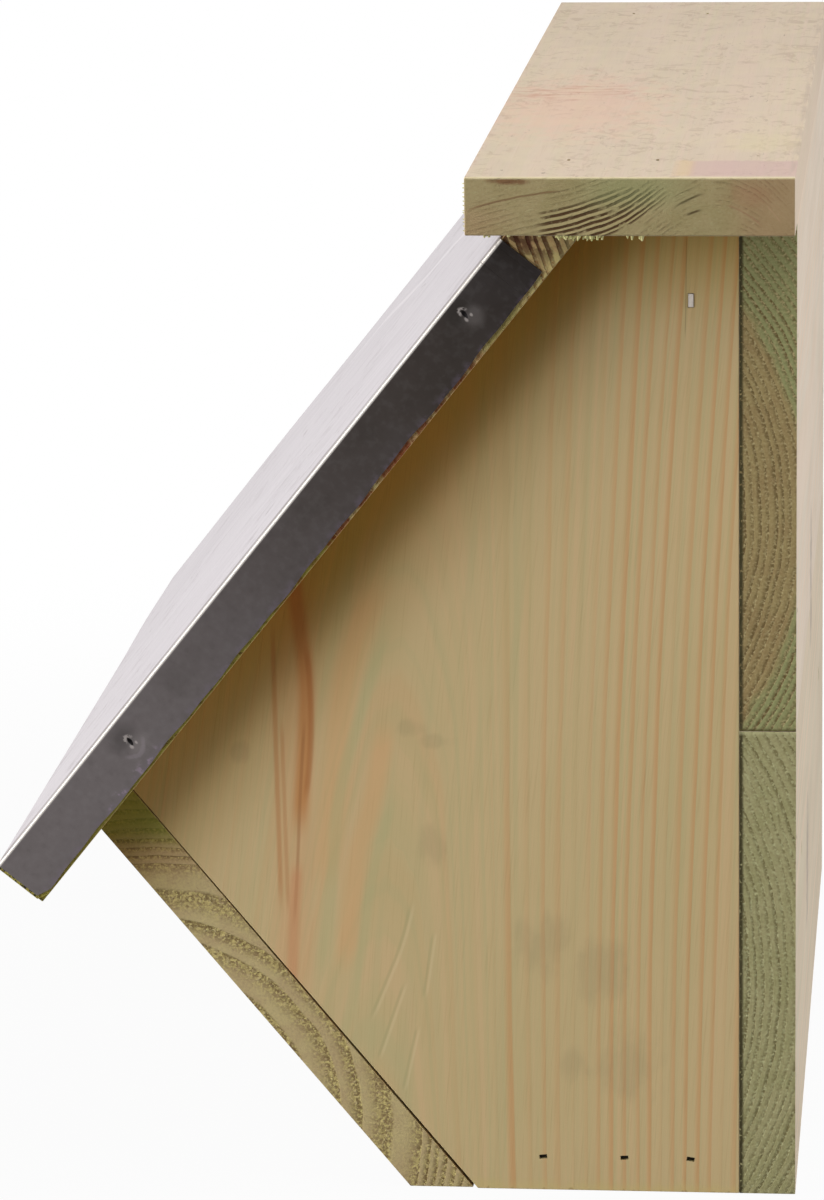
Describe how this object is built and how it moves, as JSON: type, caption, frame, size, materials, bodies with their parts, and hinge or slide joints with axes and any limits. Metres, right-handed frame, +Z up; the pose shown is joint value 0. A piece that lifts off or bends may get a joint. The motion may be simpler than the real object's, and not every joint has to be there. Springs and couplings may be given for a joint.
{
  "type": "swift nest box",
  "caption": "Wall-hung timber nest box for swifts: a steep roof under a folded metal sheet, over a sloping take-off front board with an oval entrance that faces down.",
  "frame": {"origin": "middle of the part's extent in X and Y, on the plane of its base", "axes": "+X along the box to the right as seen from in front, +Y towards the wall behind it, +Z up"},
  "size_m": [0.4, 0.2392, 0.315],
  "materials": {
    "timber": "planed, pressure-treated softwood",
    "pale_timber": "planed softwood, dry and pale",
    "zinc": "dull grey sheet, slightly streaked",
    "steel": "plated fasteners"
  },
  "bodies": {
    "box": {"top_board": "pale_timber", "upper_back_board": "timber", "lower_back_board": "timber", "right_side_panel": "timber", "left_side_panel": "timber", "floor_board": "timber", "top_batten": "timber", "upper_roof_board": "timber", "lower_roof_board": "timber", "roof_sheet": "zinc", "top_board_brads": "steel", "upper_back_brads": "steel", "lower_back_brads": "steel", "floor_brads": "steel", "batten_brads": "steel", "upper_roof_brads": "steel", "lower_roof_brads": "steel", "sheet_brads": "steel"},
    "front": {"front_board": "timber", "front_board_screws": "steel"}
  },
  "joints": [
    {"name": "front_board_removal", "type": "slide", "parent": "box", "child": "front", "axis": [0, -0.6266, -0.7793], "range_m": [0, 0.08]}
  ]
}
